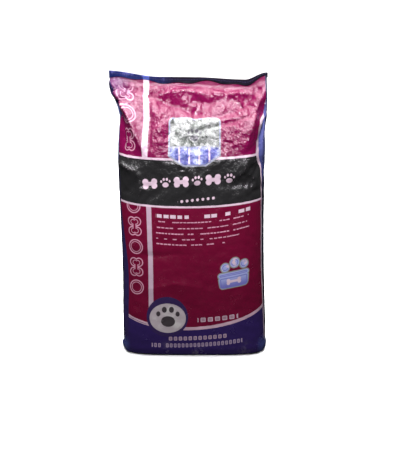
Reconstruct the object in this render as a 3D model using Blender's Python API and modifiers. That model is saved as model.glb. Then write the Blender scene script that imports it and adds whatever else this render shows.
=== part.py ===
"""A filled pet food bag: a side-gusseted sack of laminated woven polypropylene that stands on its base.

The sack is one folded tube. Its mouth is pressed flat, bound with tape and chain stitched, and its
bottom is hemmed, stitched and folded under. Metres, +Z up. The front faces -Y, the origin is the
middle of the base on the ground, and the mouth seam runs along X.
"""

import math

import bmesh
import bpy
import numpy as np

# ---------------------------------------------------------------- driving dimensions
MOUTH_HEIGHT = 0.838  # ground to the middle of the mouth
LEFT_LIFT = 0.015  # how far the mouth's corners stand above its slanting edge
RIGHT_LIFT = 0.022
MOUTH_SLANT = 0.030  # fall of the mouth's edge to the right, for each metre across
MOUTH_DIP = 0.004  # sag of the edge right of the middle
PANEL_WIDTH = 0.468  # front or back panel, crease to crease, as cut
GUSSET_WIDTH = 0.100  # one side gusset opened flat
BODY_WIDTH = 0.434  # the filled sack across its sides
BODY_DEPTH = 0.196  # the filled sack, front to back

FIN_THICKNESS = 0.0030  # the pressed layers at the mouth
FIN_HEIGHT = 0.0265  # how much of the mouth is pressed flat
TAPE_DROP = 0.0220  # binding tape, down each side of the mouth
TAPE_WALL = 0.0005
FIT_GAP = 0.00035  # clearance between pieces that lie against each other
THREAD_WIDTH = 0.0012
STITCH_LENGTH = 0.008
THREAD_INSET = 0.004  # how far a row of stitches stops short of its edge
SEAM_DROP = 0.0100  # mouth edge down to the line of stitches
EAR_REACH = 0.016  # how far the folded bottom corners stand out of the sides
HEM_OFFSET = 0.020  # the bottom seam lies this far behind the middle of the base
HEM_GROOVE_LENGTH = 0.390
HEM_GROOVE_WIDTH = 0.006
HEM_GROOVE_DEPTH = 0.0024

# Height, then half depth and half width there, each as a share of the filled body's own half,
# and how square the section is (2 is an ellipse).
BODY_STATIONS = (
    (0.000, 0.860, 0.975, 4.4),
    (0.004, 0.925, 1.000, 4.4),
    (0.014, 0.970, 1.014, 4.3),
    (0.040, 0.990, 1.020, 4.1),
    (0.110, 1.000, 1.018, 3.7),
    (0.250, 1.000, 1.004, 3.2),
    (0.420, 0.985, 1.004, 3.1),
    (0.530, 0.950, 1.008, 3.1),
    (0.600, 0.860, 1.010, 3.1),
    (0.670, 0.660, 1.010, 3.1),
    (0.740, 0.380, 1.008, 3.1),
    (0.785, 0.165, 1.008, 3.1),
    (0.805, 0.050, 1.008, 3.1),
)
LEFT_FLARE = 0.020  # how much wider the mouth is than the slack sack below it, on the left
RIGHT_FLARE = 0.008
SLACK_FOOT = 0.560  # the food ends here, and the sack starts to close towards its mouth
TUCK_DEPTH = 0.034  # how far the gusset folds in between front and back
EAR_LIFT = 0.013  # height of the folded bottom corners, and how much of the side they take up
EAR_THICKNESS = 0.009
EAR_SPREAD = 0.055

# ---------------------------------------------------------------- finishes
FILM_COLOUR = (0.135, 0.006, 0.030, 1.0)
TAPE_COLOUR = (0.014, 0.012, 0.060, 1.0)
THREAD_COLOUR = (0.035, 0.032, 0.080, 1.0)

PANEL_STEPS = 32  # columns across a panel
GUSSET_STEPS = 4  # columns from a panel crease to the middle of the gusset
BODY_ROWS = 40


def smooth_step(low, high, value):
    share = min(1.0, max(0.0, (value - low) / (high - low)))
    return share * share * (3.0 - 2.0 * share)


def smooth_between(stations, height, column):
    """One column of the stations at any height, on a curve that passes through every station."""
    heights = [station[0] for station in stations]
    values = [station[column] for station in stations]
    slopes = np.gradient(values, heights)
    height = min(max(height, heights[0]), heights[-1])
    i = min(int(np.searchsorted(heights, height, side="right")), len(heights) - 1)
    span = heights[i] - heights[i - 1]
    t = (height - heights[i - 1]) / span
    return (
        (1 + 2 * t) * (1 - t) ** 2 * values[i - 1]
        + t * (1 - t) ** 2 * span * slopes[i - 1]
        + t * t * (3 - 2 * t) * values[i]
        - t * t * (1 - t) * span * slopes[i]
    )


def mouth_height(x):
    """The mouth's edge: its left corner stands highest, it dips to the right and kicks up again."""
    corners = LEFT_LIFT * smooth_step(0.09, 0.234, -x) + RIGHT_LIFT * smooth_step(0.165, 0.234, x)
    return MOUTH_HEIGHT + corners - MOUTH_SLANT * x - MOUTH_DIP * smooth_step(0.02, 0.15, x)


def panel_positions():
    """Distances along the tube's front half, from the middle of one gusset to the middle of the other."""
    gusset = np.linspace(PANEL_WIDTH / 2 + GUSSET_WIDTH / 2, PANEL_WIDTH / 2, GUSSET_STEPS + 1)
    panel = np.linspace(-PANEL_WIDTH / 2, PANEL_WIDTH / 2, PANEL_STEPS + 1)
    return np.concatenate([-gusset[:-1], panel, gusset[::-1][1:]])


def filled_section(half_width, half_depth, squareness, along):
    """The filled sack's section: a rounded box whose girth is shared out along the tube's sheet."""
    turn = np.linspace(0.0, math.pi, 721)
    power = 2.0 / squareness
    x = -half_width * np.sign(np.cos(turn)) * np.abs(np.cos(turn)) ** power
    y = -half_depth * np.sin(turn) ** power
    girth = np.concatenate([[0.0], np.cumsum(np.hypot(np.diff(x), np.diff(y)))])
    wanted = (along - along[0]) / (along[-1] - along[0]) * girth[-1]
    return np.interp(wanted, girth, x), np.interp(wanted, girth, y)


def pressed_section(height, along):
    """The closing sack's section: the panel lies flat, and the gusset folds in behind its edges."""
    into_gusset = np.clip((np.abs(along) - PANEL_WIDTH / 2) / (GUSSET_WIDTH / 2), 0.0, 1.0)
    left = LEFT_FLARE * (1.0 - smooth_step(0.715, 0.811, height))
    right = RIGHT_FLARE * (1.0 - smooth_step(0.60, 0.811, height))
    narrowing = np.where(along < 0.0, left, right)
    reach = np.minimum(np.abs(along), PANEL_WIDTH / 2) * (1.0 - narrowing / (PANEL_WIDTH / 2))
    tuck = TUCK_DEPTH * smooth_step(0.60, 0.74, height) * (1.0 - smooth_step(0.76, 0.808, height))
    round_end = FIN_THICKNESS / 2 * np.sin(into_gusset * math.pi / 2)
    y = -FIN_THICKNESS / 2 * np.cos(into_gusset * math.pi / 2)
    return np.sign(along) * (reach - tuck * into_gusset + round_end), y


def body_row(height, along):
    """The front half of the sack's outline at one height, left gusset to right gusset."""
    fin_foot = MOUTH_HEIGHT - FIN_HEIGHT
    deep = 0.0 if height >= fin_foot else smooth_between(BODY_STATIONS, height, 1)
    half_width = BODY_WIDTH / 2 * smooth_between(BODY_STATIONS, height, 2)
    squareness = smooth_between(BODY_STATIONS, height, 3)
    full_x, full_y = filled_section(half_width, BODY_DEPTH / 2, squareness, along)
    flat_x, flat_y = pressed_section(height, along)
    pressed = smooth_step(SLACK_FOOT, fin_foot, height)
    x = full_x * (1.0 - pressed) + flat_x * pressed
    y = full_y * deep + flat_y * (1.0 - deep)
    # The folded corners of the bottom hem stand out of the sides, close to the ground.
    ear = EAR_REACH * math.exp(-(((height - EAR_LIFT) / EAR_THICKNESS) ** 2))
    on_side = np.abs(x) > 0.85 * BODY_WIDTH / 2
    x = x + np.sign(x) * ear * np.clip(1.0 - np.abs(y) / EAR_SPREAD, 0.0, 1.0) * on_side
    follow = smooth_step(0.62, fin_foot, height)
    z = [height + follow * (mouth_height(px) - MOUTH_HEIGHT) for px in x]
    return [(px, min(py, 0.0), pz) for px, py, pz in zip(x, y, z)]


def row_heights():
    """Heights of the sack's rows: close together round the base's edge, then even, then the fin."""
    fin_foot = MOUTH_HEIGHT - FIN_HEIGHT
    edge_rows = 8
    edge = 0.06 * np.linspace(0.0, 1.0, edge_rows, endpoint=False) ** 1.6
    wall = np.linspace(0.06, fin_foot, BODY_ROWS - edge_rows)
    return [*edge, *wall, MOUTH_HEIGHT]


def finish(obj, name, colour, roughness):
    """Gives the object its own finish and smooth shading with crisp edges."""
    material = bpy.data.materials.get(name) or bpy.data.materials.new(name)
    material.use_nodes = True
    shader = material.node_tree.nodes["Principled BSDF"]
    shader.inputs["Base Color"].default_value = colour
    shader.inputs["Roughness"].default_value = roughness
    shader.inputs["Metallic"].default_value = 0.0
    obj.data.materials.append(material)
    if obj.type == "MESH":
        obj.data.shade_smooth()
        obj.data.set_sharp_from_angle(angle=math.radians(45))


def add_object(name, data, collection):
    obj = bpy.data.objects.new(name, data)
    collection.objects.link(obj)
    return obj


def poly_curve(name, points, collection):
    """A polyline curve object through the points."""
    curve = bpy.data.curves.new(name, "CURVE")
    curve.dimensions = "3D"
    spline = curve.splines.new("POLY")
    spline.points.add(len(points) - 1)
    for spot, point in zip(spline.points, points):
        spot.co = (*point, 1.0)
    return add_object(name, curve, collection)


def make_bag_body(parts, cutters):
    """Sack and food as one sealed solid. The front half is lofted and mirrored to the back."""
    along = panel_positions()
    rows = [body_row(height, along) for height in row_heights()]
    mesh = bmesh.new()
    grid = [[mesh.verts.new(point) for point in row] for row in rows]
    for lower, upper in zip(grid, grid[1:]):
        for i in range(len(along) - 1):
            mesh.faces.new((lower[i], lower[i + 1], upper[i + 1], upper[i]))
    # The base and the top of the mouth are closed as far as the plane of the mirror.
    for row, flip in ((grid[0], True), (grid[-1], False)):
        inner = [row[0], *(mesh.verts.new((v.co.x, 0.0, v.co.z)) for v in row[1:-1]), row[-1]]
        for i in range(len(row) - 1):
            corners = [row[i], row[i + 1], inner[i + 1], inner[i]]
            corners = [v for k, v in enumerate(corners) if v not in corners[:k]]
            mesh.faces.new(corners[::-1] if flip else corners)
    data = bpy.data.meshes.new("bag_body")
    mesh.to_mesh(data)
    mesh.free()
    body = add_object("bag_body", data, parts)
    finish(body, "laminated_film", FILM_COLOUR, 0.42)

    mirror = body.modifiers.new("back_half", "MIRROR")
    mirror.use_axis = (False, True, False)
    mirror.merge_threshold = 0.00005

    # The bottom hem's stitches lie in a shallow groove, so the base itself stays flat.
    bpy.ops.mesh.primitive_cube_add(size=1.0, location=(0.0, HEM_OFFSET, 0.0))
    groove = bpy.context.object
    groove.name = "hem_groove_cutter"
    for collection in list(groove.users_collection):
        collection.objects.unlink(groove)
    cutters.objects.link(groove)
    groove.scale = (HEM_GROOVE_LENGTH, HEM_GROOVE_WIDTH, 2 * HEM_GROOVE_DEPTH)
    groove.hide_render = True
    groove.display_type = "WIRE"
    cut = body.modifiers.new("hem_groove", "BOOLEAN")
    cut.operation = "DIFFERENCE"
    cut.solver = "EXACT"
    cut.object = groove


def mouth_path(drop, y, inset, steps):
    """Points along the mouth, a set distance below its edge and in front of or behind its middle."""
    reach = PANEL_WIDTH / 2 - inset
    return [(x, y, mouth_height(x) - drop) for x in np.linspace(-reach, reach, steps + 1)]


def make_binding_tape(parts, cutters):
    """Tape folded over the mouth: a U section swept along the mouth's edge."""
    inner = FIN_THICKNESS / 2 + FIT_GAP
    outer = inner + TAPE_WALL
    top = FIT_GAP + TAPE_WALL
    outline = (
        (-outer, top),
        (outer, top),
        (outer, -TAPE_DROP),
        (inner, -TAPE_DROP),
        (inner, FIT_GAP),
        (-inner, FIT_GAP),
        (-inner, -TAPE_DROP),
        (-outer, -TAPE_DROP),
    )
    profile = poly_curve("tape_section", [(x, y, 0.0) for x, y in outline], cutters)
    profile.data.dimensions = "2D"
    profile.data.splines[0].use_cyclic_u = True
    profile.hide_render = True
    profile.display_type = "WIRE"
    tape = poly_curve("top_binding_tape", mouth_path(0.0, 0.0, 0.0, PANEL_STEPS), parts)
    tape.data.twist_mode = "Z_UP"
    tape.data.bevel_mode = "OBJECT"
    tape.data.bevel_object = profile
    tape.data.use_fill_caps = True
    finish(tape, "binding_tape", TAPE_COLOUR, 0.5)


def make_thread(name, points, parts):
    """Sewing thread along a run of stitches."""
    thread = poly_curve(name, points, parts)
    thread.data.bevel_depth = THREAD_WIDTH / 2
    thread.data.bevel_resolution = 1
    thread.data.use_fill_caps = True
    finish(thread, "sewing_thread", THREAD_COLOUR, 0.7)


def make_seam_threads(parts):
    """The needle thread on the front of the tape, the looper thread behind, and the bottom seam."""
    face = FIN_THICKNESS / 2 + FIT_GAP + TAPE_WALL + FIT_GAP + THREAD_WIDTH / 2
    stitches = round(PANEL_WIDTH / STITCH_LENGTH)
    for name, y in (("top_needle_thread", -face), ("top_looper_thread", face)):
        make_thread(name, mouth_path(SEAM_DROP, y, THREAD_INSET, stitches), parts)
    lift = HEM_GROOVE_DEPTH - FIT_GAP - THREAD_WIDTH / 2
    reach = HEM_GROOVE_LENGTH / 2 - THREAD_INSET
    bottom = [(x, HEM_OFFSET, lift) for x in np.linspace(-reach, reach, stitches // 2)]
    make_thread("bottom_seam_thread", bottom, parts)


def main():
    for obj in list(bpy.data.objects):
        bpy.data.objects.remove(obj)
    parts = bpy.data.collections.new("pet_food_bag")
    cutters = bpy.data.collections.new("cutters")
    bpy.context.scene.collection.children.link(parts)
    bpy.context.scene.collection.children.link(cutters)
    make_bag_body(parts, cutters)
    make_binding_tape(parts, cutters)
    make_seam_threads(parts)


main()
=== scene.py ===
import math

import bmesh
import bpy
import numpy as np
from mathutils import Matrix, Vector, kdtree, noise


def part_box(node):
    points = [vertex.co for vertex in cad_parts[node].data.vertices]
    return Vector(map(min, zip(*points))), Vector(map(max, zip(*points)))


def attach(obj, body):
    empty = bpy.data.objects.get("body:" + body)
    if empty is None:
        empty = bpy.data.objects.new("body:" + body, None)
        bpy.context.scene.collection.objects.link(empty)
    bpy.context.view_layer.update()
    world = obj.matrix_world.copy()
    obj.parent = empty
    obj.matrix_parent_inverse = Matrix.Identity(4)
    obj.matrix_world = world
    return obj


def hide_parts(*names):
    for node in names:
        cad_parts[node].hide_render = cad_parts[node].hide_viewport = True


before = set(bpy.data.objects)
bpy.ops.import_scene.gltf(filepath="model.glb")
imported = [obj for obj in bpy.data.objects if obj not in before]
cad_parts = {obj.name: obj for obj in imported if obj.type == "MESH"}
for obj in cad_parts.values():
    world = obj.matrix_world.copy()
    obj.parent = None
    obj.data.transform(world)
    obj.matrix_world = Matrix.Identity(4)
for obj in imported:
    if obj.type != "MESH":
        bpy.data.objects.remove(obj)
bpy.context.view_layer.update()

# ------------------------------------------------------------------ studio
# A pale sweep of paper under and behind the bag, washed white by lights of its own. It lends the
# bag no light and no reflection. A gridded light high in front falls on the bag's slack top, and
# weak lights fill its front and its back.
stage_front, stage_back, stage_height, bend_radius, stage_half = -0.76, 3.3, 3.6, 0.7, 3.6
sweep_line = [(stage_front, 0.0)]
bend_steps = 12
for step in range(bend_steps + 1):
    turn = step / bend_steps * math.pi / 2
    sweep_line.append((
        stage_back - bend_radius + bend_radius * math.sin(turn),
        bend_radius - bend_radius * math.cos(turn),
    ))
sweep_line.append((stage_back, stage_height))
sweep_mesh = bmesh.new()
left_edge = [sweep_mesh.verts.new((-stage_half, y, z)) for y, z in sweep_line]
right_edge = [sweep_mesh.verts.new((stage_half, y, z)) for y, z in sweep_line]
for i in range(len(sweep_line) - 1):
    sweep_mesh.faces.new((left_edge[i], right_edge[i], right_edge[i + 1], left_edge[i + 1]))
sweep_data = bpy.data.meshes.new("paper_sweep")
sweep_mesh.to_mesh(sweep_data)
sweep_mesh.free()
sweep_data.shade_smooth()
sweep = bpy.data.objects.new("paper_sweep", sweep_data)
bpy.context.scene.collection.objects.link(sweep)
sweep.visible_diffuse = sweep.visible_glossy = False

paper = bpy.data.materials.new("pale_paper")
paper.use_nodes = True
paper_shader = paper.node_tree.nodes["Principled BSDF"]
paper_shader.inputs["Base Color"].default_value = (0.93, 0.93, 0.93, 1.0)
paper_shader.inputs["Roughness"].default_value = 0.9
paper_shader.inputs["Specular IOR Level"].default_value = 0.1
sweep_data.materials.append(paper)


def soft_light(name, place, target, size, watts, spread=180.0, colour=(1.0, 1.0, 1.0)):
    """A rectangular light whose beam opens by spread, in degrees."""
    lamp = bpy.data.lights.new(name, "AREA")
    lamp.shape = "RECTANGLE"
    lamp.size, lamp.size_y = size
    lamp.energy = watts
    lamp.spread = math.radians(spread)
    lamp.color = colour
    light = bpy.data.objects.new(name, lamp)
    light.location = place
    light.rotation_euler = (Vector(target) - Vector(place)).to_track_quat("-Z", "Y").to_euler()
    bpy.context.scene.collection.objects.link(light)


key_tint = (0.97, 0.89, 1.0)
soft_light("gridded_key", (0.10, -1.50, 2.05), (0.0, 0.0, 0.95), (0.50, 0.30), 5.4, 46.0, key_tint)
soft_light("front_fill", (-0.4, -2.3, 2.2), (0.0, 0.0, 0.35), (1.0, 0.8), 6.5, 70.0)
soft_light("floor_wash", (0.0, 0.9, 3.2), (0.0, 0.9, 0.0), (3.4, 3.4), 150.0, 120.0)
soft_light("back_wash", (0.0, 1.7, 3.2), (0.0, 3.3, 1.0), (3.0, 0.8), 170.0)
soft_light("rear_fill", (0.5, 2.4, 2.1), (0.0, 0.0, 0.45), (0.9, 0.7), 9.0, 70.0)

world = bpy.data.worlds.new("studio_air")
world.use_nodes = True
world.node_tree.nodes["Background"].inputs["Color"].default_value = (0.90, 0.92, 1.0, 1.0)
world.node_tree.nodes["Background"].inputs["Strength"].default_value = 0.04
bpy.context.scene.world = world
bpy.context.scene.view_settings.view_transform = "Standard"

# The camera stands a little above the bag and a touch to its right, looking slightly down.
eye_height, eye_distance, eye_azimuth = 1.05, 2.60, math.radians(4.0)
eye = Vector((
    eye_distance * math.sin(eye_azimuth),
    -eye_distance * math.cos(eye_azimuth),
    eye_height,
))
aim = Vector((0.029, 0.0, 0.390))
camera_data = bpy.data.cameras.new("camera")
camera_data.lens = 70.2
camera = bpy.data.objects.new("camera", camera_data)
camera.location = eye
camera.rotation_mode = "QUATERNION"
roll = Matrix.Rotation(math.radians(-1.1), 3, "Z")
camera.rotation_quaternion = ((aim - eye).to_track_quat("-Z", "Y").to_matrix() @ roll).to_quaternion()
bpy.context.scene.collection.objects.link(camera)
bpy.context.scene.camera = camera

# ------------------------------------------------------------------ sack
# One tube of woven polypropylene laminated with printed film, creased into two panels and two
# side gussets, filled with kibble, pressed flat at the mouth and folded under at the bottom.
body_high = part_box("bag_body")[1]
tape_low, tape_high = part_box("top_binding_tape")
panel_width, gusset_width = 0.468, 0.100
girth = 2 * (panel_width + gusset_width)
mouth_height, fin_height = 0.838, 0.0265
body_half_width, body_half_depth = 0.217, body_high.y
layer_gap = 0.0007
tuck_depth = gusset_width / 2 - 0.002
hem_offset, hem_gap, base_row_gap = 0.020, 0.0006, 0.0095

# Height, then half depth and half width there, each as a share of the filled sack's own half,
# and how square the section is (2 is an ellipse).
stations = np.array((
    (0.000, 0.860, 0.975, 4.4),
    (0.004, 0.925, 1.000, 4.4),
    (0.014, 0.970, 1.014, 4.3),
    (0.040, 0.990, 1.020, 4.1),
    (0.110, 1.000, 1.018, 3.7),
    (0.250, 1.000, 1.004, 3.2),
    (0.420, 0.985, 1.004, 3.1),
    (0.530, 0.950, 1.008, 3.1),
    (0.600, 0.860, 1.010, 3.1),
    (0.670, 0.660, 1.010, 3.1),
    (0.740, 0.380, 1.008, 3.1),
    (0.785, 0.165, 1.008, 3.1),
    (0.805, 0.050, 1.008, 3.1),
    (0.812, 0.000, 1.008, 3.1),
))
left_flare, right_flare = 0.020, 0.008
left_foot_reach, right_foot_reach, foot_spread = 0.012, 0.005, 0.055


def smooth_step(low, high, value):
    share = np.clip((value - low) / (high - low), 0.0, 1.0)
    return share * share * (3.0 - 2.0 * share)


def bump(value, middle, width):
    """A soft hill: 1 at the middle, about 0 beyond twice the width."""
    return np.exp(-(((value - middle) / width) ** 2))


def station_share(height, column):
    heights, values = stations[:, 0], stations[:, column]
    slopes = np.gradient(values, heights)
    i = np.clip(np.searchsorted(heights, height, side="right"), 1, len(heights) - 1)
    span = heights[i] - heights[i - 1]
    t = np.clip((height - heights[i - 1]) / span, 0.0, 1.0)
    return (
        (1 + 2 * t) * (1 - t) ** 2 * values[i - 1]
        + t * (1 - t) ** 2 * span * slopes[i - 1]
        + t * t * (3 - 2 * t) * values[i]
        - t * t * (1 - t) * span * slopes[i]
    )


def mouth_edge(x):
    """Height of the mouth's edge: the left ear stands highest, then it dips and kicks up again."""
    left_ear = 0.015 * smooth_step(0.09, 0.234, -x)
    right_ear = 0.022 * smooth_step(0.165, 0.234, x)
    return mouth_height + left_ear + right_ear - 0.030 * x - 0.004 * smooth_step(0.02, 0.15, x)


def mouth_sway(x):
    """How far the pressed mouth waves out of its own plane."""
    wave = 0.0045 * np.sin(x * 19.0 + 0.6)
    right_turn = 0.006 * smooth_step(0.15, 0.234, x)
    left_turn = 0.003 * smooth_step(0.12, 0.23, -x)
    return wave - right_turn + left_turn


def ear_pull(x, height):
    """The stitching gathers the mouth a little: its right ear is drawn in, its left drawn out."""
    drawn = -0.0075 * smooth_step(0.12, 0.236, x) - 0.0025 * smooth_step(0.12, 0.236, -x)
    return x + drawn * smooth_step(0.72, 0.83, height)


# The filled section is a rounded box whose girth is shared out evenly along the sheet.
turns = np.linspace(0.0, math.pi, 1441)


def filled_half(half_width, half_depth, squareness, along):
    power = 2.0 / squareness
    x = -half_width * np.sign(np.cos(turns)) * np.abs(np.cos(turns)) ** power
    y = -half_depth * np.sin(turns) ** power
    length = np.concatenate([[0.0], np.cumsum(np.hypot(np.diff(x), np.diff(y)))])
    wanted = (along / (girth / 2) + 0.5) * length[-1]
    return np.interp(wanted, length, x), np.interp(wanted, length, y)


def sheet_row(height, across):
    """The sack's outline at one height. across runs round the tube from the front's middle."""
    front = np.abs(across) <= girth / 4
    along = np.where(front, across, np.sign(across) * (girth / 2 - np.abs(across)))
    side = np.where(front, 1.0, -1.0)
    into = np.clip((np.abs(along) - panel_width / 2) / (gusset_width / 2), 0.0, 1.0)
    half_width = body_half_width * station_share(height, 2)
    full_x, full_y = filled_half(half_width, body_half_depth, station_share(height, 3), along)
    tuck = tuck_depth * smooth_step(0.60, 0.79, height)
    left = left_flare * (1.0 - smooth_step(0.700, 0.785, height))
    right = right_flare * (1.0 - smooth_step(0.60, 0.811, height))
    narrowing = np.where(along < 0.0, left, right) / (panel_width / 2)
    reach = np.minimum(np.abs(along), panel_width / 2) * (1.0 - narrowing)
    flat_x = np.sign(along) * (reach - tuck * into)
    flat_y = -layer_gap * (1.0 - 0.8 * into)
    pressed = smooth_step(0.56, mouth_height - fin_height, height)
    deep = station_share(height, 1)
    x = full_x * (1.0 - pressed) + flat_x * pressed
    y = np.minimum(full_y * deep + flat_y * (1.0 - deep), 0.0) * side
    folded_corner = np.where(x < 0.0, left_foot_reach, right_foot_reach) * bump(height, 0.011, 0.009)
    near_side = np.clip(1.0 - np.abs(y) / foot_spread, 0.0, 1.0) * (np.abs(x) > 0.19)
    x = x + np.sign(x) * folded_corner * near_side
    y = y + mouth_sway(x) * smooth_step(0.66, mouth_height - fin_height, height)
    z = height + smooth_step(0.62, mouth_height - fin_height, height) * (mouth_edge(x) - mouth_height)
    x = ear_pull(x, height)
    return np.stack([x, y, z], axis=1)


panel_steps, gusset_steps, body_rows, base_steps = 150, 34, 252, 10
panel_line = np.linspace(-panel_width / 2, panel_width / 2, panel_steps + 1)
gusset_line = panel_width / 2 + np.linspace(0.0, gusset_width, gusset_steps + 1)
back_line = gusset_line[-1] + np.linspace(0.0, panel_width, panel_steps + 1)
other_gusset = back_line[-1] + np.linspace(0.0, gusset_width, gusset_steps + 1)
around = np.concatenate([panel_line[:-1], gusset_line[:-1], back_line[:-1], other_gusset[:-1]])
wrapped = (around + girth / 2) % girth - girth / 2
foot_heights = np.array((0.0, 0.002, 0.0045, 0.008))
heights = np.concatenate([foot_heights, np.linspace(0.012, mouth_height, body_rows - 4)])
rows = [sheet_row(height, wrapped) for height in heights]
# Under the bag the sheet runs in from the foot's edge to the hem line.
foot_row = rows[0]
for step in range(1, base_steps + 1):
    share = step / base_steps
    row = foot_row.copy()
    row[:, 0] *= 1.0 - 0.04 * share
    row[:, 1] += (hem_offset + hem_gap * np.sign(foot_row[:, 1]) - row[:, 1]) * share
    rows.insert(0, row)
base_heights = -base_row_gap * np.arange(base_steps, 0, -1)
sheet_heights = np.concatenate([base_heights, heights])
smooth_shape = np.array(rows)
row_count, column_count = smooth_shape.shape[:2]
sheet_s = np.broadcast_to(wrapped, (row_count, column_count))
sheet_h = np.broadcast_to(sheet_heights[:, None], (row_count, column_count))


def tube_quads(row_total, column_total):
    index = np.arange(row_total * column_total).reshape(row_total, column_total)
    beside = np.roll(index, -1, axis=1)
    return np.stack([index[:-1], beside[:-1], beside[1:], index[1:]], axis=-1).reshape(-1, 4)


def grid_normals(points):
    run = np.roll(points, -1, axis=1) - np.roll(points, 1, axis=1)
    rise = np.gradient(points, axis=0)
    normal = np.cross(run, rise)
    length = np.linalg.norm(normal, axis=2, keepdims=True)
    return normal / np.maximum(length, 1e-9)


def cubic_weights(wanted, known, period=None):
    """Rows of Catmull-Rom weights that read values given at known places from wanted places."""
    total = len(known)
    ends = np.append(known, known[0] + period) if period else known
    i = np.clip(np.searchsorted(ends, wanted, side="right") - 1, 0, len(ends) - 2)
    t = np.clip((wanted - ends[i]) / (ends[i + 1] - ends[i]), 0.0, 1.0)
    parts = (
        (-1, -0.5 * t + t * t - 0.5 * t ** 3),
        (0, 1.0 - 2.5 * t * t + 1.5 * t ** 3),
        (1, 0.5 * t + 2.0 * t * t - 1.5 * t ** 3),
        (2, -0.5 * t * t + 0.5 * t ** 3),
    )
    weights = np.zeros((len(wanted), total))
    for shift, part in parts:
        place = (i + shift) % total if period else np.clip(i + shift, 0, total - 1)
        np.add.at(weights, (np.arange(len(wanted)), place), part)
    return weights


# The film is slack between the fill and the pressed mouth, so it buckles there. A coarse copy of
# the tube is blown up as cloth with spare length in the slack part, and the sheet takes its shape.
slack = smooth_step(0.50, 0.64, sheet_h) * (1.0 - smooth_step(0.795, 0.825, sheet_h))
settled = smooth_shape.copy()
cloth_frames, farthest_move = 24, 0.014
coarse_columns = np.concatenate([
    np.arange(0, panel_steps, 3),
    panel_steps + np.arange(0, gusset_steps, 4),
    panel_steps + gusset_steps + np.arange(0, panel_steps, 3),
    2 * panel_steps + gusset_steps + np.arange(0, gusset_steps, 4),
])
coarse_rows = np.unique(np.append(np.arange(base_steps, row_count, 3), row_count - 1))
coarse = smooth_shape[np.ix_(coarse_rows, coarse_columns)]
film_data = bpy.data.meshes.new("slack_film")
film_data.from_pydata(coarse.reshape(-1, 3).tolist(), [], tube_quads(*coarse.shape[:2]).tolist())
film = bpy.data.objects.new("slack_film", film_data)
bpy.context.scene.collection.objects.link(film)
coarse_h = sheet_h[np.ix_(coarse_rows, coarse_columns)].ravel()
held = film.vertex_groups.new(name="held")
taut = film.vertex_groups.new(name="taut")
for i, height in enumerate(coarse_h):
    hold = 1.0 - smooth_step(0.30, 0.55, height) * (1.0 - smooth_step(0.79, 0.815, height))
    held.add([i], float(hold), "REPLACE")
    spare = smooth_step(0.52, 0.66, height) * (1.0 - smooth_step(0.78, 0.815, height))
    taut.add([i], float(1.0 - spare), "REPLACE")
cloth = film.modifiers.new("cloth", "CLOTH")
settings = cloth.settings
settings.quality = 6
settings.mass = 0.15
settings.tension_stiffness = settings.compression_stiffness = 30.0
settings.shear_stiffness = 12.0
settings.bending_stiffness = 0.35
settings.vertex_group_mass = "held"
settings.pin_stiffness = 1.0
settings.vertex_group_shrink = "taut"
settings.shrink_min, settings.shrink_max = -0.05, 0.0
settings.use_pressure = True
settings.uniform_pressure_force = 0.7
settings.effector_weights.gravity = 0.0
cloth.collision_settings.use_collision = False
cloth.collision_settings.use_self_collision = False
for frame_number in range(1, cloth_frames + 1):
    bpy.context.scene.frame_set(frame_number)
shaped = film.evaluated_get(bpy.context.evaluated_depsgraph_get()).to_mesh()
blown = np.empty(len(shaped.vertices) * 3)
shaped.vertices.foreach_get("co", blown)
moved = blown.reshape(coarse.shape) - coarse
bpy.data.objects.remove(film)
bpy.context.scene.frame_set(1)
distance = np.linalg.norm(moved, axis=2, keepdims=True)
moved *= farthest_move * np.tanh(distance / farthest_move) / np.maximum(distance, 1e-9)
by_row = cubic_weights(sheet_heights, sheet_heights[coarse_rows])
by_column = cubic_weights(around, around[coarse_columns], girth)
spread = np.einsum("ri,ijk,cj->rck", by_row, moved, by_column)
spread[:base_steps] = 0.0
in_gusset = smooth_step(0.214, 0.240, np.abs(wrapped)) * (np.abs(wrapped) < 0.334)
spread *= 1.0 - 0.6 * in_gusset[None, :, None]
settled += spread


def near_line(s, h, line):
    """Distance from a fold's line, + on its left as it runs, and how far along it that point is."""
    best = np.full(s.shape, 1e9)
    signed = np.zeros(s.shape)
    along = np.zeros(s.shape)
    legs = len(line) - 1
    for i in range(legs):
        (s0, h0), (s1, h1) = line[i], line[i + 1]
        run, rise = s1 - s0, h1 - h0
        t = np.clip(((s - s0) * run + (h - h0) * rise) / (run * run + rise * rise), 0.0, 1.0)
        ds, dh = s - s0 - t * run, h - h0 - t * rise
        away = np.hypot(ds, dh)
        closer = away < best
        best = np.where(closer, away, best)
        signed = np.where(closer, np.sign(run * dh - rise * ds) * away, signed)
        along = np.where(closer, (i + t) / legs, along)
    return signed, along


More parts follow.
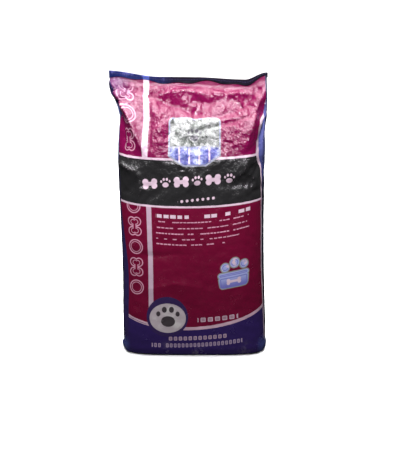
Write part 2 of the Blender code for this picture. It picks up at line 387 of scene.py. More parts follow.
# Folds pressed into the film by hand and fill: each is a line over the sheet, how far it stands
# out at its middle, and its width on the left and on the right of the line as it runs.
folds = (
    (((-0.229, 0.815), (-0.204, 0.745), (-0.174, 0.700), (-0.136, 0.630)), 0.024, 0.022, 0.012),
    (((-0.230, 0.790), (-0.214, 0.700), (-0.200, 0.630)), -0.010, 0.010, 0.020),
    (((-0.215, 0.802), (-0.185, 0.778), (-0.145, 0.768)), -0.008, 0.012, 0.012),
    (
        ((-0.140, 0.804), (-0.062, 0.789), (-0.008, 0.796), (0.052, 0.786), (0.150, 0.798)),
        0.012, 0.012, 0.015,
    ),
    (((0.062, 0.800), (0.106, 0.789), (0.156, 0.799), (0.200, 0.795)), 0.009, 0.008, 0.022),
    (((-0.150, 0.798), (-0.075, 0.772), (0.010, 0.742), (0.052, 0.732)), -0.017, 0.018, 0.020),
    (((0.005, 0.774), (0.060, 0.767), (0.135, 0.784)), -0.012, 0.016, 0.013),
    (((-0.005, 0.680), (0.085, 0.702), (0.205, 0.735)), -0.0080, 0.0042, 0.0050),
    (((0.212, 0.800), (0.150, 0.757), (0.080, 0.722)), -0.017, 0.020, 0.032),
    (((0.222, 0.790), (0.194, 0.730), (0.165, 0.635)), 0.021, 0.020, 0.032),
    (((0.236, 0.790), (0.232, 0.710), (0.214, 0.630)), -0.008, 0.012, 0.014),
    (((-0.095, 0.760), (-0.085, 0.690), (-0.095, 0.600)), 0.012, 0.020, 0.030),
    (((-0.122, 0.770), (-0.118, 0.690), (-0.120, 0.610)), -0.007, 0.008, 0.010),
    (((-0.060, 0.785), (-0.035, 0.720), (-0.062, 0.640)), -0.007, 0.010, 0.014),
    (((-0.234, 0.600), (-0.205, 0.592), (-0.165, 0.575)), 0.012, 0.008, 0.016),
    (((-0.160, 0.590), (-0.150, 0.520), (-0.168, 0.470)), 0.006, 0.010, 0.014),
    (((0.185, 0.620), (0.160, 0.570), (0.110, 0.545)), 0.008, 0.014, 0.020),
    (((0.010, 0.590), (0.020, 0.550), (-0.010, 0.515)), 0.006, 0.012, 0.016),
    (((-0.190, 0.330), (-0.120, 0.318), (-0.030, 0.326)), -0.0032, 0.010, 0.018),
    (((-0.150, 0.215), (-0.050, 0.232), (0.030, 0.222)), 0.0026, 0.012, 0.020),
    (((0.380, 0.800), (0.470, 0.740), (0.560, 0.700)), 0.017, 0.014, 0.026),
    (((0.760, 0.810), (0.700, 0.735), (0.640, 0.650)), 0.018, 0.012, 0.024),
    (((0.450, 0.790), (0.560, 0.770), (0.690, 0.795)), -0.015, 0.014, 0.018),
)
# Where the slack film is most crumpled: middle, half size and how much.
crumpled_places = (
    (-0.195, 0.775, 0.045, 0.035, 0.8),
    (-0.060, 0.802, 0.060, 0.016, 0.9),
    (-0.090, 0.690, 0.035, 0.070, 0.9),
    (0.018, 0.665, 0.080, 0.055, 1.0),
    (0.130, 0.700, 0.045, 0.070, 0.9),
    (0.000, 0.570, 0.090, 0.035, 0.5),
    (0.568, 0.700, 0.200, 0.080, 0.8),
)
pushed = np.zeros(sheet_s.shape)
mirror_s = np.where(sheet_s < -0.35, sheet_s + girth, sheet_s)
for line, height_out, left_width, right_width in folds:
    signed, along = near_line(mirror_s, sheet_h, line)
    side_width = np.where(signed > 0.0, left_width, right_width)
    profile = np.exp(-((np.abs(signed) / side_width) ** 1.25))
    pushed += height_out * profile * (0.25 + 0.75 * np.sin(math.pi * np.clip(along, 0.0, 1.0)) ** 0.7)

# The film crackles into small facets where it is slack, and the kibble shows through where taut.
draws = np.random.default_rng(11)
noise.seed_set(11)


def facets(size):
    """Creased facets about one size across: high at the middle of each, low at its creases."""
    count = int(girth * 0.9 / size ** 2)
    tree_of_middles = kdtree.KDTree(count)
    for i in range(count):
        middle = (draws.uniform(-girth / 2, girth / 2), draws.uniform(-0.02, 0.88), 0.0)
        tree_of_middles.insert(middle, i)
    tree_of_middles.balance()
    result = np.empty(sheet_s.shape)
    for r in range(row_count):
        for c in range(column_count):
            place = smooth_shape[r, c]
            bend = noise.noise_vector(Vector(place) * 30.0) * 0.35 * size
            near = tree_of_middles.find((sheet_s[r, c] + bend.x, sheet_h[r, c] + bend.z, 0.0))
            result[r, c] = near[2]
    return np.minimum(1.0 - result / size, 0.85)


crackle = np.empty(sheet_s.shape)
lumps = np.empty(sheet_s.shape)
for r in range(row_count):
    for c in range(column_count):
        place = Vector(smooth_shape[r, c])
        warped = place + 0.012 * noise.noise_vector(place * 26.0)
        crackle[r, c] = 0.45 - abs(noise.noise(warped * 42.0)) * 2.2
        lumps[r, c] = noise.noise(place * 48.0 + Vector((9.0, 3.0, 5.0)))
large_facet, small_facet = 0.040, 0.018
crackle = 0.25 * crackle + 0.75 * (facets(large_facet) - 0.6) + 0.45 * (facets(small_facet) - 0.6)
patch = np.full(sheet_s.shape, 0.22)
for middle_s, middle_h, half_s, half_h, amount in crumpled_places:
    patch += amount * bump(mirror_s, middle_s, half_s) * bump(sheet_h, middle_h, half_h)
from_middle = np.abs(sheet_s)
on_gusset = smooth_step(0.226, 0.240, from_middle) * (1.0 - smooth_step(0.328, 0.342, from_middle))
filled = smooth_step(0.02, 0.08, sheet_h) * (1.0 - smooth_step(0.50, 0.64, sheet_h))
slack_crackle, taut_crackle, kibble_lump = 0.0095, 0.0007, 0.0007
pushed += slack_crackle * slack * np.minimum(patch, 1.0) * (1.0 - 0.75 * on_gusset) * crackle
pushed += taut_crackle * (1.0 - slack) * smooth_step(0.0, 0.04, sheet_h) * crackle
pushed += kibble_lump * filled * lumps
# Near the mouth the layers lie close, so a fold can't be pressed in further than there is depth.
layer_depth = np.abs(settled[..., 1] - mouth_sway(settled[..., 0]) * smooth_step(0.66, 0.8115, sheet_h))
pushed = np.maximum(pushed, -0.7 * layer_depth - 0.040 * (1.0 - smooth_step(0.70, 0.77, sheet_h)))
room = 1.0 - smooth_step(0.798, 0.814, sheet_h)
pushed *= room * smooth_step(-0.001, 0.012, sheet_h)
final_shape = settled + pushed[..., None] * grid_normals(settled)


def film_mesh(name, points):
    """The tube closed along the hem line, with the sheet's own coordinates as a UV map."""
    row_total, column_total = points.shape[:2]
    quads = tube_quads(row_total, column_total)
    beyond = np.append(around, around[0] + girth)
    corner = np.empty((row_total - 1, column_total, 4, 2))
    corner[..., (0, 3), 0] = beyond[:-1][None, :, None]
    corner[..., (1, 2), 0] = beyond[1:][None, :, None]
    corner[..., (0, 1), 1] = sheet_heights[:-1, None, None]
    corner[..., (2, 3), 1] = sheet_heights[1:, None, None]
    middle, half = panel_steps // 2, column_total // 2
    hem_quads = []
    for step in range(-half // 2, half // 2):
        near = [(middle + k) % column_total for k in (step, step + 1)]
        far = [(middle + half - k) % column_total for k in (step, step + 1)]
        hem_quads.append(list(dict.fromkeys((near[0], far[0], far[1], near[1]))))
    data = bpy.data.meshes.new(name)
    data.from_pydata(points.reshape(-1, 3).tolist(), [], quads.tolist() + hem_quads)
    flat = [corner.astype(np.float32).reshape(-1, 2)]
    for face in hem_quads:
        flat.append(np.array([(around[i], sheet_heights[0]) for i in face], dtype=np.float32))
    layer = data.uv_layers.new(name="print")
    layer.data.foreach_set("uv", np.concatenate(flat).ravel())
    data.shade_smooth()
    return data


sack_data = film_mesh("sack", final_shape)
sack = bpy.data.objects.new("sack", sack_data)
bpy.context.scene.collection.objects.link(sack)
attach(sack, "root")
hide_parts("bag_body")


class Field:
    """A number that varies over a surface, built as material nodes by plain arithmetic."""

    def __init__(self, tree, socket):
        self.tree, self.socket = tree, socket

    def math(self, operation, *others, clamp=False):
        node = self.tree.nodes.new("ShaderNodeMath")
        node.operation = operation
        node.use_clamp = clamp
        for slot, value in zip(node.inputs, (self,) + others):
            if isinstance(value, Field):
                self.tree.links.new(value.socket, slot)
            else:
                slot.default_value = value
        return Field(self.tree, node.outputs[0])

    def __add__(self, other):
        return self.math("ADD", other)

    def __sub__(self, other):
        return self.math("SUBTRACT", other)

    def __mul__(self, other):
        return self.math("MULTIPLY", other)

    def __truediv__(self, other):
        return self.math("DIVIDE", other)

    def __abs__(self):
        return self.math("ABSOLUTE")

    __radd__, __rmul__ = __add__, __mul__

    def __rsub__(self, other):
        return self.math("MULTIPLY_ADD", -1.0, other)

    def low(self, other):
        return self.math("MINIMUM", other)

    def high(self, other):
        return self.math("MAXIMUM", other)

    def length(self, other):
        return (self * self + other * other).math("SQRT")

    def wrap(self, low, high):
        return self.math("WRAP", high, low)

    def cell(self, size):
        return (self / size).math("FLOOR")

    def inside(self, softness=0.0007):
        """1 where this distance is below zero, 0 where it is above, with a soft edge."""
        return self.math("MULTIPLY_ADD", -0.5 / softness, 0.5, clamp=True)

    def ramp(self, low, high, low_value=0.0, high_value=1.0):
        node = self.tree.nodes.new("ShaderNodeMapRange")
        node.interpolation_type = "SMOOTHSTEP"
        self.tree.links.new(self.socket, node.inputs["Value"])
        limits = (("From Min", low), ("From Max", high), ("To Min", low_value), ("To Max", high_value))
        for socket_name, value in limits:
            node.inputs[socket_name].default_value = value
        return Field(self.tree, node.outputs["Result"])


def new_material(name):
    material = bpy.data.materials.new(name)
    material.use_nodes = True
    return material.node_tree, material.node_tree.nodes["Principled BSDF"], material


def place_fields(tree, source, output, map_name=None):
    """The two or three coordinates that a texture coordinate or UV map node gives."""
    node = tree.nodes.new(source)
    if map_name:
        node.uv_map = map_name
    split = tree.nodes.new("ShaderNodeSeparateXYZ")
    tree.links.new(node.outputs[output], split.inputs[0])
    return node.outputs[output], [Field(tree, socket) for socket in split.outputs]


def noise_field(tree, vector, scale, detail=3.0, roughness=0.55, distortion=0.0):
    node = tree.nodes.new("ShaderNodeTexNoise")
    tree.links.new(vector, node.inputs["Vector"])
    settings = (("Scale", scale), ("Detail", detail), ("Roughness", roughness), ("Distortion", distortion))
    for socket_name, value in settings:
        node.inputs[socket_name].default_value = value
    return Field(tree, node.outputs["Fac"])


def random_field(tree, *cells):
    """A random number from 0 to 1 for each whole-numbered cell."""
    node = tree.nodes.new("ShaderNodeTexWhiteNoise")
    node.noise_dimensions = "2D"
    join = tree.nodes.new("ShaderNodeCombineXYZ")
    for socket, value in zip(join.inputs, cells):
        tree.links.new(value.socket, socket)
    tree.links.new(join.outputs[0], node.inputs["Vector"])
    return Field(tree, node.outputs["Value"])


class Ink:
    """A colour under build-up: each lay covers what is there wherever its mask is 1."""

    def __init__(self, tree, colour):
        self.tree, self.base, self.socket = tree, colour, None

    def lay(self, mask, colour):
        node = self.tree.nodes.new("ShaderNodeMix")
        node.data_type = "RGBA"
        self.tree.links.new(mask.socket, node.inputs[0])
        for slot, value in ((node.inputs[6], self.socket or self.base), (node.inputs[7], colour)):
            if isinstance(value, tuple):
                slot.default_value = value + (1.0,)
            else:
                self.tree.links.new(value, slot)
        self.socket = node.outputs[2]
        return self

    def scale(self, amount):
        node = self.tree.nodes.new("ShaderNodeVectorMath")
        node.operation = "SCALE"
        self.tree.links.new(self.socket, node.inputs[0])
        self.tree.links.new(amount.socket, node.inputs["Scale"])
        self.socket = node.outputs[0]
        return self


def disc(s, h, middle_s, middle_h, radius, stretch=1.0):
    return ((s - middle_s) / stretch).length(h - middle_h) - radius


def bar(s, h, middle_s, middle_h, half_long, half_high, rounding=0.0):
    """A box with rounded corners."""
    ds = (abs(s - middle_s) - (half_long - rounding)).high(0.0)
    dh = (abs(h - middle_h) - (half_high - rounding)).high(0.0)
    return ds.length(dh) - (rounding + 0.0002)


def paw(s, h, middle_s, middle_h, size):
    """A paw print: one broad pad below four toes."""
    shape = disc(s, h, middle_s, middle_h - 0.28 * size, 0.36 * size, 1.25)
    toes = ((-0.62, 0.22, 0.17), (-0.23, 0.50, 0.20), (0.23, 0.50, 0.20), (0.62, 0.22, 0.17))
    for toe_s, toe_h, toe in toes:
        shape = shape.low(disc(s, h, middle_s + toe_s * size, middle_h + toe_h * size, toe * size, 0.8))
    return shape


def bone(s, h, middle_s, middle_h, half_long, knob):
    """A plain biscuit bone: a shank with two knobs at each end."""
    across, up = abs(s - middle_s), abs(h - middle_h)
    shank = bar(across, up, 0.0, 0.0, half_long, 0.62 * knob, 0.002)
    return shank.low(disc(across, up, half_long, 0.72 * knob, knob))


# The magenta is the crimson print with a painted purplish sheen mixed in, for the lit slack top.
sheen_magenta, deep_navy, black_ink = (0.180, 0.0014, 0.055), (0.028, 0.013, 0.100), (0.018, 0.018, 0.018)
white_ink, pale_pink, blue_ink = (0.71, 0.55, 0.63), (0.66, 0.33, 0.44), (0.062, 0.072, 0.30)
pale_grey, sky_ink, violet_ink = (0.27, 0.29, 0.27), (0.36, 0.42, 0.72), (0.17, 0.17, 0.50)
crimson = (0.158, 0.0012, 0.027)

tree, film_shader, film_material = new_material("printed_film")
sheet_vector, (across, up, _) = place_fields(tree, "ShaderNodeUVMap", "UV", "print")
solid_vector, _ = place_fields(tree, "ShaderNodeTexCoord", "Object")
s = across.wrap(-girth / 2, girth / 2)
on_front = (abs(s) - 0.300).inside(0.002)
back_s = across.wrap(0.0, girth) - girth / 2
panel_s = s * on_front + back_s * (1.0 - on_front)
wobble = noise_field(tree, sheet_vector, 60.0, 2.0) - 0.5
h = up + 0.0012 * wobble

# The panels are crimson, painted bluer and lighter towards magenta above the black band: a painted
# purplish sheen where the light falls on the slack top. A black band runs across the upper half and a navy
# foot below, both edged with pale lines that rise towards the sides.
squared = panel_s * panel_s
band_top = 0.6085 + 0.21 * squared
band_bottom = 0.4680 + 0.28 * squared + 0.004 * panel_s
band = (h - band_top).high(band_bottom - h)
foot_run = panel_s + 0.020
foot_top = 0.0905 + foot_run * foot_run
ink = Ink(tree, crimson)
# Painted sheen: above the band the crimson print turns bluer and lighter towards magenta.
ink.lay(h.ramp(0.44, 0.62), sheen_magenta)

# A column of outlined rings and biscuit bones runs down the left side of the front.
column_s = s + 0.174 + 0.012 * h.ramp(0.30, 0.80)
column_pitch = 0.1260
column_h = h.wrap(0.0, column_pitch) - column_pitch / 2
ornament = abs(disc(column_s, column_h, 0.0, 0.030, 0.0215, 1.05)) - 0.0016
ornament = ornament.low(abs(disc(column_s, column_h, 0.0, 0.030, 0.0155, 1.05)) - 0.0010)
ornament = ornament.low(abs(bone(column_h, column_s, -0.033, 0.0, 0.0150, 0.0125)) - 0.0015)
ornament = ornament.low(abs(bone(column_h, column_s, -0.033, 0.0, 0.0135, 0.0070)) - 0.0009)
column_mask = ornament.inside() * h.ramp(0.186, 0.190) * h.ramp(0.802, 0.798) * on_front
ink.lay(column_mask, pale_pink)

# The left corner of the mouth is darkened into violet: painted shade where the film turns away from the
# light. A white stripe runs down beside the column.
ink.lay(s.ramp(-0.150, -0.215) * h.ramp(0.73, 0.80) * on_front * 0.6, (0.075, 0.020, 0.120))
stripe_bend = 0.0045 * h.ramp(0.45, 0.62) * h.ramp(0.80, 0.66)
stripe_half = 0.0074 + 0.0010 * h.ramp(0.30, 0.80)
stripe = (abs(s + 0.1268 + stripe_bend) - stripe_half).inside() * on_front
ink.lay(stripe, white_ink)
# Painted shade: the stripe is darkened low down, where less light falls on the front.
ink.lay(stripe * h.ramp(0.64, 0.44) * 0.45, (0.34, 0.23, 0.31))

# Where a bag carries its feeding notes there are rows of plain dashes, one row bolder.
note_h = h - 0.55 * squared - 0.012 * s
note_rows = (
    (0.4385, 0.0052, 0.021, 0.190, white_ink, 0.10),
    (0.4215, 0.0016, 0.011, 0.180, pale_pink, 0.22),
    (0.4035, 0.0016, 0.013, 0.175, pale_pink, 0.15),
    (0.3865, 0.0018, 0.010, 0.182, pale_pink, 0.20),
    (0.3700, 0.0016, 0.014, 0.150, pale_pink, 0.12),
    (0.3535, 0.0018, 0.012, 0.105, pale_pink, 0.18),
)
for row_h, half_high, pitch, right_end, colour, gap in note_rows:
    cell = s.cell(pitch)
    luck = random_field(tree, cell, h * 0.0 + row_h * 997.0)
    dash = abs(s.wrap(0.0, pitch) - pitch / 2) - (luck.ramp(0.0, 1.0, 0.30, 0.47) * pitch)
    dash = dash.high(abs(note_h - row_h) - half_high)
    dash = dash.high(s - right_end).high(-0.106 - s)
    keep = luck.math("GREATER_THAN", gap)
    ink.lay(dash.inside(0.0005) * keep * on_front, colour)

# A pale blue feeding bowl with three biscuits over it.
bowl_s, bowl_h = s - 0.131, h - 0.252 - 0.16 * (s - 0.131)
bowl = bar(bowl_s * (1.0 - 3.2 * bowl_h), bowl_h, 0.0, -0.012, 0.046, 0.017, 0.008)
bowl_rim = bar(bowl_s, bowl_h, 0.0, 0.0105, 0.047, 0.0065, 0.006)
biscuits = disc(bowl_s, bowl_h, -0.026, 0.034, 0.0125).low(disc(bowl_s, bowl_h, 0.004, 0.045, 0.0140))
biscuits = biscuits.low(disc(bowl_s, bowl_h, 0.033, 0.036, 0.0120))
motif = bowl.low(bowl_rim).low(biscuits)
sky_mix = noise_field(tree, sheet_vector, 55.0, 2.0)
ink.lay((motif - 0.0032).inside() * on_front, pale_grey)
ink.lay(motif.inside() * on_front, sky_ink)
ink.lay(bowl.inside() * bowl_h.ramp(0.004, -0.026) * on_front, violet_ink)
ink.lay((abs(motif + 0.0045) - 0.0012).inside() * on_front, violet_ink)
ink.lay(biscuits.inside() * sky_mix.ramp(0.50, 0.62) * on_front, white_ink)
bone_in_bowl = bone(bowl_s, bowl_h, 0.0, -0.011, 0.017, 0.0055)
ink.lay(bone_in_bowl.inside() * on_front, white_ink)

# The black band and its lines.
ink.lay(band.inside(), black_ink)
ink.lay((abs(h - band_top) - 0.0030).inside(), white_ink)
ink.lay((abs(h - band_bottom) - 0.0029).inside(), white_ink)
band_row = s.wrap(0.0, 0.0960)
tracks = paw(band_row, h - 0.06 * s, 0.024, 0.5455, 0.0210)
tracks = tracks.low(bone(band_row, h - 0.06 * s, 0.072, 0.5455, 0.0135, 0.0090))
tracks = tracks.high(abs(s) - 0.1440)
ink.lay(tracks.inside() * on_front, white_ink)
dots = disc(s.wrap(0.0, 0.0160), h - 0.10 * s, 0.0080, 0.4880, 0.0042).high(abs(s - 0.020) - 0.056)
ink.lay(dots.inside() * on_front, white_ink)

# A pale shield with a blue lower part stands over the band's upper line.
shield_s, shield_h = abs(s - 0.016), h - 0.652
shield = bar(shield_s, shield_h, 0.0, 0.004, 0.078, 0.068, 0.016)
shield = shield.high((shield_s - 0.086) * 0.55 + (-0.030 - shield_h) * 0.84)
mottle = noise_field(tree, sheet_vector, 70.0, 5.0, 0.65, 0.4)
shade = noise_field(tree, sheet_vector, 24.0, 3.0)
ink.lay(shield.inside() * on_front, pale_grey)
ink.lay((shield + 0.004).inside() * shade.ramp(0.46, 0.62) * on_front, (0.15, 0.17, 0.15))
ink.lay((shield + 0.004).inside() * mottle.ramp(0.52, 0.60) * on_front, (0.065, 0.075, 0.065))
ink.lay((shield + 0.004).inside() * mottle.ramp(0.46, 0.36) * on_front, (0.46, 0.48, 0.46))
lower_field = (shield + 0.006).inside() * shield_h.ramp(-0.004, -0.020) * on_front
ink.lay(lower_field, blue_ink)
ink.lay(lower_field * shade.ramp(0.42, 0.62), sky_ink)
rays = (s - 0.016).wrap(0.0, 0.030) - 0.015
ink.lay((abs(rays) - 0.0024).inside() * lower_field * mottle.ramp(0.40, 0.50), white_ink)
ink.lay((abs(shield + 0.003) - 0.0012).inside() * on_front, (0.30, 0.32, 0.50))
ink.lay(paw(s - 0.016, h, 0.0, 0.676, 0.0270).inside() * on_front, (0.10, 0.10, 0.11))

# The navy foot, its pale line, two rows of plain dashes and a ring with a paw print.
ink.lay((h - foot_top).inside(), deep_navy)
ink.lay((abs(h - foot_top) - 0.0050).inside(), (0.62, 0.42, 0.50))
ink.lay((abs(h - foot_top + 0.0012) - 0.0008).inside() * s.ramp(-0.13, -0.15) * on_front, deep_navy)
foot_rows = (
    (0.0595, 0.0062, 0.0150, -0.075, 0.104, (0.48, 0.34, 0.42), 0.10),
    (0.0370, 0.0065, 0.0120, -0.126, 0.150, (0.40, 0.30, 0.42), 0.05),
    (0.1170, 0.0068, 0.0220, 0.016, 0.140, (0.62, 0.46, 0.54), 0.0),
)
for row_h, half_high, pitch, left_end, right_end, colour, gap in foot_rows:
    cell = s.cell(pitch)
    luck = random_field(tree, cell, h * 0.0 + row_h * 997.0)
    lift = 0.06 * s + 0.35 * (s - 0.02) * (s - 0.02)
    block = bar(s.wrap(0.0, pitch), h - lift, pitch / 2, row_h, 0.34 * pitch, half_high, 0.0025)
    block = block.high(s - right_end).high(left_end - s)
    keep = luck.math("GREATER_THAN", gap)
    ink.lay((abs(block + 0.0014) - 0.0013).inside() * keep * on_front, colour)
ring = disc(s, h, -0.0770, 0.1280, 0.0640)
oval = disc(s, h, -0.0757, 0.1240, 0.0470, 1.19)
ink.lay(ring.inside() * on_front, (0.034, 0.018, 0.085))
ink.lay(oval.inside() * on_front, (0.50, 0.44, 0.46))
ink.lay((oval + 0.006).inside() * shade.ramp(0.48, 0.66) * on_front, (0.62, 0.60, 0.58))
ink.lay(paw(s, h, -0.0745, 0.1270, 0.0480).inside() * on_front, (0.055, 0.045, 0.050))

# A navy border on the left, a white line on the right, and the navy gussets, painted with light and shade.
left_edge_s = -0.2035 - 0.0290 * h.ramp(0.24, 0.52) + 0.014 * h.ramp(0.70, 0.745) * h.ramp(0.812, 0.775)
border = (s - left_edge_s).inside() * on_front
ink.lay(border, (0.026, 0.015, 0.085))
pull = h.ramp(0.742, 0.690) * h.ramp(0.572, 0.618)
right_edge_s = 0.2290 - 0.0245 * pull
white_width = (0.0085 + 0.0050 * pull) * h.ramp(0.765, 0.735)
ink.lay((right_edge_s - s).inside() * on_front, white_ink)
beyond_white = (right_edge_s + white_width - s).inside() * (s - 0.35).inside()
left_turn = 0.2340 + 0.0150 * h.ramp(0.28, 0.36) * h.ramp(0.66, 0.56)
left_gusset = (left_turn + s).inside() * (-0.334 - s).inside()
gusset = ((abs(s - 0.284) - 0.0500).inside()).high(left_gusset).high(beyond_white)
# Painted shade and light: the gussets are near black low down and dark again at the tucked top, and
# lighter blue between, where the light falls.
ink.lay(gusset, (0.008, 0.008, 0.030))
ink.lay(gusset * h.ramp(0.50, 0.57), (0.045, 0.050, 0.185))
ink.lay(gusset * h.ramp(0.56, 0.64), (0.105, 0.120, 0.340))
ink.lay(gusset * h.ramp(0.725, 0.765), (0.022, 0.014, 0.055))
# Painted light: the folded corners at the foot are lighter blue where they catch the light.
lit_foot_corner = (0.205 - abs(s)).inside(0.01) * (abs(s) - 0.35).inside() * h.ramp(0.062, 0.030)
ink.lay(lit_foot_corner, (0.055, 0.070, 0.260))

# The print is a little uneven, dusty towards the bottom and rubbed pale along the corners.
drift = noise_field(tree, solid_vector, 7.0, 3.0)
speck = noise_field(tree, solid_vector, 900.0, 2.0)
ink.scale(drift.ramp(0.25, 0.75, 0.90, 1.07) * speck.ramp(0.2, 0.8, 0.96, 1.04))
geometry = tree.nodes.new("ShaderNodeNewGeometry")
pointed = Field(tree, geometry.outputs["Pointiness"])
rubbed = pointed.ramp(0.515, 0.56) * noise_field(tree, solid_vector, 160.0, 4.0, 0.7).ramp(0.52, 0.66)
ink.lay(rubbed * 0.35, (0.70, 0.55, 0.62))
dust = noise_field(tree, solid_vector, 18.0, 5.0, 0.65).ramp(0.52, 0.75) * h.ramp(0.06, 0.0)
ink.lay(dust * 0.35, (0.42, 0.38, 0.34))
tree.links.new(ink.socket, film_shader.inputs["Base Color"])

# The laminate is glossy film over a woven tape base: fine squares, crackled where it is slack.
slack_zone = h.ramp(0.52, 0.66) * h.ramp(0.835, 0.80)
weave_scale = 125.0


def woven_bands(direction):
    """The ribs of one set of the woven tapes."""
    bands = tree.nodes.new("ShaderNodeTexWave")
    bands.wave_type, bands.bands_direction = "BANDS", direction
    bands.inputs["Scale"].default_value = weave_scale
    tree.links.new(sheet_vector, bands.inputs["Vector"])
    return Field(tree, bands.outputs["Fac"])


def facet_field(scale, distortion):
    """Small creased facets, like the crackle of handled film."""
    shake = tree.nodes.new("ShaderNodeTexNoise")
    shake.inputs["Scale"].default_value = scale * 0.8
    tree.links.new(solid_vector, shake.inputs["Vector"])
    shift = tree.nodes.new("ShaderNodeVectorMath")
    shift.operation = "MULTIPLY_ADD"
    shift.inputs[1].default_value = (distortion, distortion, distortion)
    tree.links.new(shake.outputs["Color"], shift.inputs[0])
    tree.links.new(solid_vector, shift.inputs[2])
    cells = tree.nodes.new("ShaderNodeTexVoronoi")
    cells.inputs["Scale"].default_value = scale
    tree.links.new(shift.outputs[0], cells.inputs["Vector"])
    return Field(tree, cells.outputs["Distance"])


grid = woven_bands("X") + woven_bands("Y")
crumple = slack_zone * 0.22
for middle_s, middle_h, half_s, half_h, amount in crumpled_places:
    run, rise = (across - middle_s) / half_s, (h - middle_h) / half_h
    crumple = crumple + ((run * run + rise * rise) * -1.0).math("EXPONENT") * amount
crumple = (crumple * slack_zone).low(1.0)
fine_noise = noise_field(tree, solid_vector, 130.0, 2.0, 0.5, 0.8)
facet_relief = facet_field(72.0, 0.010) * 0.70 + facet_field(170.0, 0.004) * 0.36
relief = grid * 0.04 + facet_relief * (crumple + 0.05) + fine_noise * (crumple * 0.30 + 0.10)
relief_node = tree.nodes.new("ShaderNodeBump")
relief_node.inputs["Strength"].default_value = 0.9
relief_node.inputs["Distance"].default_value = 0.0055
tree.links.new(relief.socket, relief_node.inputs["Height"])
tree.links.new(relief_node.outputs["Normal"], film_shader.inputs["Normal"])
gloss = noise_field(tree, solid_vector, 30.0, 4.0, 0.6).ramp(0.3, 0.7, 0.17, 0.28) + rubbed * 0.15
tree.links.new(gloss.socket, film_shader.inputs["Roughness"])
film_shader.inputs["Specular IOR Level"].default_value = 0.80
sack_data.materials.append(film_material)

# ------------------------------------------------------------------ top binding tape
# A strip of navy coated tape folded over the pressed mouth, about 22 mm down each side, and
# sewn through the sack's layers. It follows the mouth's wave and puckers between stitches.
tape_drop, tape_gap, tape_wall = 0.022, 0.0021, 0.0005
seam_drop, stitch_length, thread_radius = 0.010, 0.008, 0.00055


def tape_outside(x, drop, side):
    """A point of the tape's outer face: drop is how far below the mouth's folded edge."""
    ragged = 0.70 + 0.15 * np.sin(x * 31.0 + 2.0 + side) + 0.12 * np.sin(x * 73.0 + side) - 0.45 * x
    drop = drop * ragged
    half = tape_gap + 0.0004 * np.sin(x * 61.0 + side)
    pucker = 0.00035 * np.cos(x / stitch_length * 2.0 * math.pi) * bump(drop, seam_drop, 0.004)
    flutter = 0.0011 * np.sin(x * 43.0 + 1.9 * side) * smooth_step(0.010, tape_drop, drop)
    y = mouth_sway(x) - side * (half - pucker + flutter + 0.0006)
    return ear_pull(x, mouth_height), y, mouth_edge(x) - drop


def strip_mesh(name, grid, u_values, v_values, wall):
    """A sheet of quads through a grid of points, given its thickness, with a UV map."""
    row_total, column_total = grid.shape[:2]
    index = np.arange(row_total * column_total).reshape(row_total, column_total)
    corners = (index[:-1, :-1], index[:-1, 1:], index[1:, 1:], index[1:, :-1])
    quads = np.stack(corners, axis=-1).reshape(-1, 4)
    data = bpy.data.meshes.new(name)
    data.from_pydata(grid.reshape(-1, 3).tolist(), [], quads.tolist())
    u, v = np.meshgrid(u_values, v_values)
    pairs = np.stack([u, v], axis=-1).reshape(-1, 2)
    layer = data.uv_layers.new(name="print")
    layer.data.foreach_set("uv", pairs[quads.ravel()].astype(np.float32).ravel())
    data.shade_smooth()
    piece = bpy.data.objects.new(name, data)
    bpy.context.scene.collection.objects.link(piece)
    shell = piece.modifiers.new("thickness", "SOLIDIFY")
    shell.thickness, shell.offset = wall, -1.0
    return piece


tape_x = np.linspace(tape_low.x + 0.0004, tape_high.x - 0.0004, 361)
drops = np.concatenate([np.linspace(tape_drop, 0.0025, 12), np.linspace(0.0017, 0.0003, 4)])
tape_rows, tape_v = [], []
for side in (1.0, -1.0):
    side_drops = drops if side > 0 else drops[::-1]
    for drop in side_drops:
        pulled_x, y, z = tape_outside(tape_x, drop, side)
        crown = 1.0 - smooth_step(0.0, 0.0022, drop)
        y = mouth_sway(tape_x) + (y - mouth_sway(tape_x)) * math.sqrt(max(0.0, 1.0 - crown ** 2))
        tape_rows.append(np.stack([pulled_x, y, z], axis=1))
        tape_v.append(-side * drop)
    if side > 0:
        tape_rows.append(np.stack([pulled_x, mouth_sway(tape_x), mouth_edge(tape_x)], axis=1))
        tape_v.append(0.0)
tape = strip_mesh("mouth_tape", np.array(tape_rows), tape_x, np.array(tape_v), tape_wall)
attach(tape, "root")
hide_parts("top_binding_tape")

tree, tape_shader, tape_material = new_material("coated_tape")
tape_vector, (tape_s, _, _) = place_fields(tree, "ShaderNodeUVMap", "UV", "print")
solid_vector, _ = place_fields(tree, "ShaderNodeTexCoord", "Object")
tape_ink = Ink(tree, (0.0060, 0.0035, 0.0110))
# Painted light and shade: the tape is near black on the right, shaded at the folded edge, and lighter blue
# towards the left where the light falls.
tape_ink.lay(tape_s.ramp(-0.02, -0.17), (0.009, 0.016, 0.095))
tape_ink.lay((abs(tape_s + 0.127) - 0.0090).inside() * 0.75, (0.075, 0.110, 0.400))
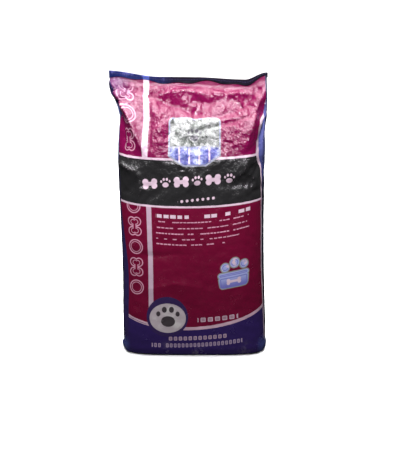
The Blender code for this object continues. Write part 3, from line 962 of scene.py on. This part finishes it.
# Pale blue blotches on the left half only: painted glare mottling, with some scuffing.
scuffs_and_glare = noise_field(tree, solid_vector, 45.0, 4.0, 0.65).ramp(0.52, 0.75) * tape_s.ramp(0.0, -0.2)
tape_ink.lay(scuffs_and_glare * 0.6, (0.16, 0.16, 0.46))
tape_ink.scale(noise_field(tree, solid_vector, 22.0, 3.0).ramp(0.3, 0.7, 0.80, 1.12))
tree.links.new(tape_ink.socket, tape_shader.inputs["Base Color"])
ribs = tree.nodes.new("ShaderNodeTexWave")
ribs.bands_direction = "X"
ribs.inputs["Scale"].default_value = 190.0
tree.links.new(tape_vector, ribs.inputs["Vector"])
crimp = noise_field(tree, solid_vector, 120.0, 4.0, 0.6, 0.6)
tape_relief = tree.nodes.new("ShaderNodeBump")
tape_relief.inputs["Strength"].default_value = 0.8
tape_relief.inputs["Distance"].default_value = 0.0010
tree.links.new((Field(tree, ribs.outputs["Fac"]) * 0.12 + crimp).socket, tape_relief.inputs["Height"])
tree.links.new(tape_relief.outputs["Normal"], tape_shader.inputs["Normal"])
tree.links.new(crimp.ramp(0.3, 0.7, 0.34, 0.52).socket, tape_shader.inputs["Roughness"])
tape_shader.inputs["Specular IOR Level"].default_value = 0.16
tape.data.materials.append(tape_material)

# ------------------------------------------------------------------ mouth seam
# A chain stitch in navy spun thread: the needle thread lies in short straight stitches on the front
# of the tape, and the looper thread runs through them in linked loops on the back.


def thread_mesh(name, runs, radius, sides=6):
    """A round thread swept along each run of points."""
    verts, faces = [], []
    for run in runs:
        tangents = np.gradient(run, axis=0)
        tangents /= np.linalg.norm(tangents, axis=1, keepdims=True)
        across_run = np.cross(tangents, (0.0, 0.0, 1.0))
        across_run /= np.maximum(np.linalg.norm(across_run, axis=1, keepdims=True), 1e-6)
        upward = np.cross(across_run, tangents)
        first = len(verts)
        for place, wide, high in zip(run, across_run, upward):
            for side in range(sides):
                turn = 2.0 * math.pi * side / sides
                verts.append(tuple(place + radius * (math.cos(turn) * wide + math.sin(turn) * high)))
        for ring in range(len(run) - 1):
            for side in range(sides):
                a, b = first + ring * sides + side, first + ring * sides + (side + 1) % sides
                faces.append((a, b, b + sides, a + sides))
        faces.append(tuple(range(first, first + sides))[::-1])
        faces.append(tuple(range(len(verts) - sides, len(verts))))
    data = bpy.data.meshes.new(name)
    data.from_pydata(verts, [], faces)
    data.shade_smooth()
    piece = bpy.data.objects.new(name, data)
    bpy.context.scene.collection.objects.link(piece)
    return piece


def on_tape(x, proud, side, lift=0.0):
    x, y, z = tape_outside(x, seam_drop - lift, side)
    return np.stack([x, y - side * proud, z], axis=1)


stitch_ends = np.arange(tape_low.x + 0.006, tape_high.x - 0.006, stitch_length)
needle_runs, looper_runs = [], []
for start in stitch_ends:
    t = np.linspace(0.0, 1.0, 7)
    x = start + 0.0007 + t * (stitch_length - 0.0014)
    proud = -0.0006 + 0.0010 * np.sin(math.pi * t) ** 0.4
    needle_runs.append(on_tape(x, proud, 1.0))
t = np.linspace(0.0, 1.0, len(stitch_ends) * 14)
turn = t * len(stitch_ends) * 2.0 * math.pi
looper_x = tape_low.x + 0.006 + t * (len(stitch_ends) * stitch_length) * 0.995 + 0.0022 * np.sin(turn)
looper_runs.append(on_tape(looper_x, 0.0004 + 0.0002 * np.sin(2.0 * turn), -1.0, 0.0011 * np.cos(turn)))
needle = thread_mesh("needle_stitches", needle_runs, thread_radius)
looper = thread_mesh("looper_chain", looper_runs, thread_radius)

tree, thread_shader, thread_material = new_material("spun_thread")
thread_vector, _ = place_fields(tree, "ShaderNodeTexCoord", "Object")
fuzz = noise_field(tree, thread_vector, 1400.0, 3.0)
thread_ink = Ink(tree, (0.055, 0.050, 0.120))
thread_ink.lay(fuzz.ramp(0.35, 0.65), (0.020, 0.018, 0.050))
tree.links.new(thread_ink.socket, thread_shader.inputs["Base Color"])
twist = tree.nodes.new("ShaderNodeBump")
twist.inputs["Distance"].default_value = 0.0003
tree.links.new(fuzz.socket, twist.inputs["Height"])
tree.links.new(twist.outputs["Normal"], thread_shader.inputs["Normal"])
tree.links.new(fuzz.ramp(0.3, 0.7, 0.75, 0.95).socket, thread_shader.inputs["Roughness"])
thread_shader.inputs["Specular IOR Level"].default_value = 0.2
for piece, node_name in ((needle, "top_needle_thread"), (looper, "top_looper_thread")):
    piece.data.materials.append(thread_material)
    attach(piece, "root")
    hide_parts(node_name)

# ------------------------------------------------------------------ bottom seam thread
# The same thread closes the folded hem under the base. It keeps its CAD shape.
bottom_thread = bpy.data.objects["bottom_seam_thread"]
bottom_thread.data.materials.clear()
bottom_thread.data.materials.append(thread_material)
